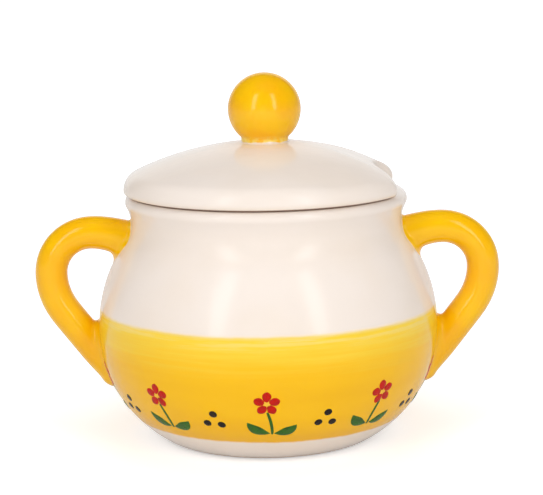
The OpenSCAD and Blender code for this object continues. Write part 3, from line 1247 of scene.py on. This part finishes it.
    def glaze(self, ivory: IvoryGlaze) -> bpy.types.Material:
        """Ivory glaze, warmer on the edge's lower round, with a line of painted seam shade just
        above the seat, and bare on the seat and the flange.

        Args:
            ivory: Finish of the lid.

        Returns:
            The material.
        """
        recipe = Recipe("lid_glaze")
        at, x, y, z = recipe.place()
        way_x, _ = recipe.bearing(x, y)
        up = z - self.seat_h
        ground = ivory.ground(recipe, at, up.step(2.1, 0.4))
        # Painted shade: the dark brown seam line on the lid's lower round, just above the seat.
        ground = ivory.paint_seam_shade(ground, up.step(0.45, 0.25) * up.step(-0.1, 0.0), way_x)
        bare = up.step(0.2, 0.05) * up.step(-5.4, -4.8)
        return ivory.coat(recipe, bare.tint(ground, ivory.clay),
                          bare * self.clay_rough + (recipe.cloud(at, 2.0) - 0.5) * 0.05,
                          recipe.ripple(at, self.ripple_size, self.ripple_depth))


# The knob


@dataclass
class Knob:
    """Ball on a short waisted neck, luted to the crown with a small fillet."""

    lid: Lid
    ball_r: float = 11.5
    neck_r: float = 7.45
    neck_h: float = 0.4
    neck_round_r: float = 1.0
    foot_round_r: float = 0.8
    sunk: float = 0.5
    bevel: float = 0.4
    columns: int = 160
    ripple_size: float = 5.0
    ripple_depth: float = 0.09

    def __post_init__(self) -> None:
        """Works out the seat on the crown and the waist's round."""
        self.foot_r = self.neck_r + self.foot_round_r
        self.seat_h = self.lid.crown_z + math.sqrt(self.lid.crown_r ** 2 - self.foot_r ** 2)
        x = self.neck_r + self.neck_round_r
        self.waist_c = np.array([x, self.seat_h + self.foot_round_r + self.neck_h])
        self.ball_h = self.waist_c[1] + math.sqrt((self.ball_r + self.neck_round_r) ** 2 - x ** 2)

    def outline(self) -> Array:
        """Outline from the middle of the hidden underside to the top of the ball.

        Returns:
            The points, as (r, z).
        """
        turn = angle_of(self.waist_c - [0, self.ball_h])
        foot_c = [self.foot_r, self.seat_h + self.foot_round_r]
        return chain(
            line([0, self.seat_h - self.sunk], [self.foot_r - self.bevel, self.seat_h - self.sunk]),
            arc(foot_c, self.foot_round_r, 270, 180, pitch=0.2),
            arc(self.waist_c, self.neck_round_r, 180, turn + 180, pitch=0.2),
            arc([0, self.ball_h], self.ball_r, turn, 90, pitch=0.45))

    def build(self, yellow: YellowGlaze, ivory: IvoryGlaze) -> bpy.types.Object:
        """Turns the outline round the axis and dresses it.

        Args:
            yellow: Finish of the ball and its neck.
            ivory: Finish that shows where the yellow ends at the neck's foot.

        Returns:
            The piece.
        """
        mould = Mould()
        mould.skin(revolve(self.outline(), self.columns))
        return mould.piece("knob_ball", self.glaze(yellow, ivory))

    def glaze(self, yellow: YellowGlaze, ivory: IvoryGlaze) -> bpy.types.Material:
        """Yellow glaze that thins down the neck and ends in an uneven edge at its foot.

        Args:
            yellow: Finish of the ball and its neck.
            ivory: Finish beyond the yellow's edge.

        Returns:
            The material.
        """
        recipe = Recipe("knob_glaze")
        at, _, _, z = recipe.place()
        fine = recipe.cloud(at, 1.6, detail=3.0)
        level = (z - self.seat_h + 0.35 + (recipe.cloud(at, 7.0) - 0.5) * 2.0
                 + (recipe.cloud(at, 2.2, detail=3.0) - 0.5) * 0.6)
        colour = yellow.ground(recipe, at, 9.0)
        colour = (level.step(3.2, 1.0) * fine.step(0.28, 0.62) * 0.8).tint(colour, yellow.pale)
        return yellow.coat(recipe, level.step(0.55, 0.95).tint(ivory.cream, colour),
                           (fine - 0.5) * yellow.grain,
                           recipe.ripple(at, self.ripple_size, self.ripple_depth))


# The enamel flowers


@dataclass
class Garland:
    """Generic ring of enamel blossoms on stems, with small triangles of dots between them."""

    pot: Pot
    sprigs: int = 9
    middle_h: float = 17.5
    highest_h: float = 50.0
    sides: int = 16
    relief: float = 0.16
    lean: float = 0.9
    heart_up: float = 5.0
    heart_half: float = 1.15
    petals: int = 5
    petal_span: tuple = (0.4, 4.1)
    petal_half: float = 1.75
    stem_foot: tuple = (-0.6, -7.2)
    stem_half: float = 0.48
    leaf_out: tuple = (0.6, 7.4)
    leaf_tips: tuple = ((-1, 5.2), (1, 4.0))
    leaf_half: float = 1.75
    dot_half: float = 1.25
    dots: tuple = ((-2.3, -3.0), (2.2, -3.3), (0.2, 0.7))

    def __post_init__(self) -> None:
        """Measures the outline's length, up from the level of the garland's middle."""
        self.u = 0.5 - 0.5 * np.cos(np.linspace(0, math.pi, 21))
        self.outline = self.pot.outside()
        step = np.linalg.norm(np.diff(self.outline, axis=0), axis=1)
        length = np.r_[0, np.cumsum(step)]
        top = int(np.argmax(self.outline[:, 1] > self.highest_h))
        self.length = length - np.interp(self.middle_h, self.outline[:top, 1], length[:top])

    def on_belly(self, across: Array, up: Array, lift: Array, turn: float) -> Array:
        """Points of a flat drawing laid on the belly.

        Up is measured along the outline, across along the circle at that level, and lift
        square to the surface.

        Args:
            across: Millimetres to the right.
            up: Millimetres up.
            lift: Millimetres out of the surface.
            turn: Angle of the drawing's middle round the axis, in radians.

        Returns:
            Points in space.
        """
        way = unit(np.gradient(self.outline, self.length, axis=0))
        radius, height, out_r, out_z = (np.interp(up, self.length, values) for values in
                                        (*self.outline.T, way[:, 1], -way[:, 0]))
        angle = turn + across / radius
        far = radius + lift * out_r
        return np.stack([far * np.cos(angle), far * np.sin(angle), height + lift * out_z],
                        axis=-1)

    def stroke(self, mould: Mould, path: Array, half: Array, turn: float) -> None:
        """Lays one brush stroke: a low ridge along a path, sunk a little along its sides.

        At angle q round its section it lies half * cos(q) to the side of the path, and lifts
        relief * sin(q) above the surface, or half as deep below it.

        Args:
            mould: Skins of the piece.
            path: Points (across, up) of the stroke's middle.
            half: Half width at each point; the first and last are zero.
            turn: Angle of the drawing's middle round the axis, in radians.
        """
        way = unit(np.gradient(path, axis=0))
        q = np.linspace(0, 2 * math.pi, self.sides, endpoint=False)
        aside = half[:, None] * np.cos(q)
        lift = np.where(np.sin(q) > 0, self.relief, self.relief / 2) * np.sin(q)
        lift = lift * np.minimum(half / (4 * self.relief), 1)[:, None] ** 0.5
        mould.skin(self.on_belly(path[:, :1] - aside * way[:, 1:], path[:, 1:] + aside * way[:, :1],
                                 lift, turn))

    def spot(self, mould: Mould, middle: Array, half: float, turn: float) -> None:
        """Lays one round spot, as a stroke whose half width is 2 half sqrt(u (1 - u)).

        Args:
            mould: Skins of the piece.
            middle: Middle of the spot, as (across, up).
            half: Its radius.
            turn: Angle of the drawing's middle round the axis, in radians.
        """
        path = self.spine(np.subtract(middle, [half, 0]), np.add(middle, [half, 0]), 0)
        self.stroke(mould, path, 2 * half * np.sqrt(self.u * (1 - self.u)), turn)

    def spine(self, start: Array, stop: Array, bow: float) -> Array:
        """Path from start to stop that bows aside as a parabola: 4 bow u (1 - u).

        Args:
            start: First point.
            stop: Last point.
            bow: Greatest distance aside, to the left of the way.

        Returns:
            The points, which crowd towards both ends.
        """
        u = self.u[:, None]
        way = stop - start
        left = np.array([-way[1], way[0]]) / np.linalg.norm(way)
        return start + way * u + left * 4 * bow * u * (1 - u)

    def build(self, red: Enamel, green: Enamel, gold: Enamel,
              black: Enamel) -> list[bpy.types.Object]:
        """Lays every stroke of the garland, one piece for each enamel.

        Args:
            red: Enamel of the petals.
            green: Enamel of the stems and leaves.
            gold: Enamel of the blossoms' middles.
            black: Enamel of the dots.

        Returns:
            The four pieces.
        """
        petals, leaves, hearts, dots = Mould(), Mould(), Mould(), Mould()
        drop = self.petal_half * np.sin(math.pi * self.u) ** 0.6 * (0.55 + 0.45 * self.u)
        lens = self.leaf_half * np.sin(math.pi * self.u) ** 0.85
        stem = self.stem_half * (2 * np.sqrt(self.u * (1 - self.u))) ** 0.3
        for number in range(self.sprigs):
            turn = math.radians(-90 + 360 * number / self.sprigs)
            lean = self.lean if number % 2 else -self.lean
            heart = np.array([lean, self.heart_up])
            for petal in range(self.petals):
                a = math.radians(90 + 360 / self.petals * petal + 6 * lean)
                way = np.array([math.cos(a), math.sin(a)])
                near, far = (heart + reach * way for reach in self.petal_span)
                self.stroke(petals, self.spine(near, far, 0.2), drop, turn)
            self.spot(hearts, heart, self.heart_half, turn)
            foot = np.array(self.stem_foot) * [lean, 1]
            self.stroke(leaves, self.spine(foot, heart - [0.1 * lean, 3.0], 0.5 * lean), stem, turn)
            for side, rise in self.leaf_tips:
                root = foot + [self.leaf_out[0] * side, 0.5]
                tip = foot + [self.leaf_out[1] * side, rise]
                self.stroke(leaves, self.spine(root, tip, -1.1 * side), lens, turn)
            for middle in self.dots:
                self.spot(dots, middle, self.dot_half, turn + math.pi / self.sprigs)
        return [mould.piece(f"enamel_{enamel.name}", enamel.dress()) for mould, enamel in
                ((petals, red), (leaves, green), (hearts, gold), (dots, black))]


# The studio


@dataclass(frozen=True)
class Lamp:
    """Soft box: its bearing and rise in degrees, its distance and size in metres, its power.

    Only a mirrored one is seen in the glaze.
    """

    turn: float
    rise: float
    away: float
    width: float
    height: float
    power: float
    mirrored: bool = False


@dataclass
class Studio:
    """Camera of the photograph, a pale floor, soft boxes and a soft surround.

    The surround lights matt surfaces with a strength of fill.  The glaze sees it white behind
    the pot, as the backdrop, a low glow in front near the floor, and as dim as room elsewhere,
    where the photographer stands.
    """

    lift: float = 10.41
    distance: float = 600.0
    aim_h: float = 55.0
    focal_px: float = 1881.33
    width_px: float = 543.0
    height_px: float = 495.0
    tilt: float = 1.07
    aim_px: tuple = (267.16, 262.84)
    floor_r: float = 9.0
    floor_drop: float = 0.00002
    floor_white: float = 0.88
    floor_glow: float = 0.45
    far_glow: float = 0.22
    far_span: tuple = (100.0, 900.0)
    mirrored_glow: float = 0.3
    fill: float = 0.49
    room: float = 0.06
    low_glow: float = 0.34
    lamp_aim: float = 0.06
    lamps: tuple = (Lamp(-34.0, 28.0, 1.25, 0.25, 1.1, 3.1, mirrored=True),
                    Lamp(34.0, 28.0, 1.25, 0.25, 1.1, 3.0, mirrored=True),
                    Lamp(0.0, 4.0, 2.0, 0.9, 0.9, 7.9),
                    Lamp(0.0, 80.0, 1.5, 1.2, 1.0, 3.2),
                    Lamp(180.0, 25.0, 2.0, 1.2, 1.2, 3.6))

    def camera(self) -> None:
        """Sets the camera so that the aim point falls on its pixel, with no lens shift."""
        lift, tilt = math.radians(self.lift), math.radians(self.tilt)
        right, up = Vector((1, 0, 0)), Vector((0, math.sin(lift), math.cos(lift)))
        ahead = Vector((0, math.cos(lift), -math.sin(lift)))
        place = Vector((0, 0, self.aim_h)) - ahead * self.distance
        right, up = (right * math.cos(tilt) - up * math.sin(tilt),
                     right * math.sin(tilt) + up * math.cos(tilt))
        off_x = (self.width_px / 2 - self.aim_px[0]) / self.focal_px
        off_y = (self.aim_px[1] - self.height_px / 2) / self.focal_px
        ahead = (ahead + right * off_x + up * off_y).normalized()
        right = (right - ahead * right.dot(ahead)).normalized()
        up = right.cross(ahead)
        data = bpy.data.cameras.new("camera")
        data.lens = self.focal_px / self.width_px * data.sensor_width
        data.clip_start, data.clip_end = 0.01, 100
        made = bpy.data.objects.new("camera", data)
        turn = Matrix((right, up, -ahead)).transposed().to_4x4()
        made.matrix_world = Matrix.Translation(place * MM) @ turn
        bpy.context.scene.collection.objects.link(made)
        bpy.context.scene.camera = made

    def floor(self) -> None:
        """Lays a wide pale floor, white to the eye, that keeps the pot's soft shadow."""
        mesh = bpy.data.meshes.new("floor")
        angle = np.linspace(0, 2 * math.pi, 96, endpoint=False)
        ring = np.stack([np.cos(angle), np.sin(angle), 0 * angle], axis=-1) * self.floor_r
        mesh.from_pydata(ring - [0, 0, self.floor_drop], [], [list(range(len(ring)))])
        made = bpy.data.objects.new("floor", mesh)
        bpy.context.scene.collection.objects.link(made)
        recipe = Recipe("floor_white")
        rays = [recipe.node("ShaderNodeLightPath", output=name)
                for name in ("Is Camera Ray", "Is Glossy Ray", "Is Transmission Ray")]
        seen = rays[0] + rays[1] * self.mirrored_glow + rays[2]
        matt = recipe.node("ShaderNodeBsdfDiffuse", inputs={"Color": (self.floor_white,) * 3 + (1,)})
        _, x, y, _ = recipe.place()
        far = (x * x + y * y).step(self.far_span[0] ** 2, self.far_span[1] ** 2)
        strength = seen * (far * self.far_glow + self.floor_glow)
        glow = recipe.node("ShaderNodeEmission", inputs={"Strength": strength})
        recipe.end(recipe.node("ShaderNodeAddShader", inputs={0: matt, 1: glow}))
        made.data.materials.append(recipe.material)

    def light(self) -> None:
        """Hangs the soft boxes, and lights the surround, which the eye sees white."""
        for number, lamp in enumerate(self.lamps):
            box = bpy.data.lights.new(f"soft_box_{number}", "AREA")
            box.shape, box.size, box.size_y = "RECTANGLE", lamp.width, lamp.height
            box.energy = lamp.power
            made = bpy.data.objects.new(box.name, box)
            made.visible_glossy = lamp.mirrored
            a, e = math.radians(lamp.turn), math.radians(lamp.rise)
            way = Vector((math.sin(a) * math.cos(e), -math.cos(a) * math.cos(e), math.sin(e)))
            place = way * lamp.away + Vector((0, 0, self.lamp_aim))
            made.matrix_world = (Matrix.Translation(place)
                                 @ way.to_track_quat("Z", "Y").to_matrix().to_4x4())
            bpy.context.scene.collection.objects.link(made)
        surround = Recipe("surround", world=True)
        seen, mirrored, through = (
            surround.node("ShaderNodeLightPath", output=name)
            for name in ("Is Camera Ray", "Is Glossy Ray", "Is Transmission Ray"))
        _, _, way_y, way_z = surround.place()
        shown = (way_y.step(700.0, 960.0) * (1 - self.room)
                 + way_z.step(420.0, -20.0) * way_y.step(960.0, 700.0) * self.low_glow
                 + self.room)
        level = (seen + through + mirrored * shown
                 + (1 - seen - through - mirrored) * self.fill)
        surround.end(surround.node("ShaderNodeBackground",
                                   inputs={"Color": (1, 1, 1, 1), "Strength": level}))
        bpy.context.scene.world = surround.material

    def build(self) -> None:
        """Sets up the camera, the floor and the lights, with a plain view transform."""
        bpy.context.scene.view_settings.view_transform = "Standard"
        self.camera()
        self.floor()
        self.light()


def main() -> None:
    """Builds the studio and every piece, ties each to its body, hides the solids of the nodes it
    replaces and logs their boxes.
    """
    logging.basicConfig(level=logging.INFO, format="%(name)s: %(message)s")
    Studio().build()
    ivory, yellow, band = IvoryGlaze(), YellowGlaze(), BandPaint()
    pot = Pot()
    lid = Lid(pot)
    rows = [
        (pot.build(ivory, band), Body.POT, "pot_body", Slot.IVORY),
        (Handle(Side.LEFT, pot).build(yellow, ivory), Body.POT, "handle_left", Slot.YELLOW),
        (Handle(Side.RIGHT, pot).build(yellow, ivory), Body.POT, "handle_right", Slot.YELLOW),
        (lid.build(ivory), Body.LID, "lid", Slot.IVORY),
        (Knob(lid).build(yellow, ivory), Body.LID, "lid_knob", Slot.YELLOW),
    ]
    for piece, body, node, slot in rows:
        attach(piece, body.value)
        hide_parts(node)
        solid = [tuple(round(v / MM, 1) for v in corner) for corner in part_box(node)]
        mine = [tuple(round(v / MM, 1) for v in corner)
                for corner in (map(min, zip(*piece.bound_box)), map(max, zip(*piece.bound_box)))]
        LOG.info("%s: solid %s, piece %s, %d faces", piece.name, solid, mine,
                 len(piece.data.polygons))
    garland = Garland(pot).build(
        Enamel("red", paint(206, 24, 8), paint(176, 14, 8)),
        Enamel("green", paint(54, 108, 32), paint(36, 86, 26)),
        Enamel("gold", paint(255, 206, 70), paint(246, 184, 40)),
        Enamel("black", paint(24, 20, 18), paint(38, 30, 24)))
    for piece in garland:
        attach(piece, Body.POT.value)
        LOG.info("%s: %d faces", piece.name, len(piece.data.polygons))


if __name__ == "__main__":
    main()
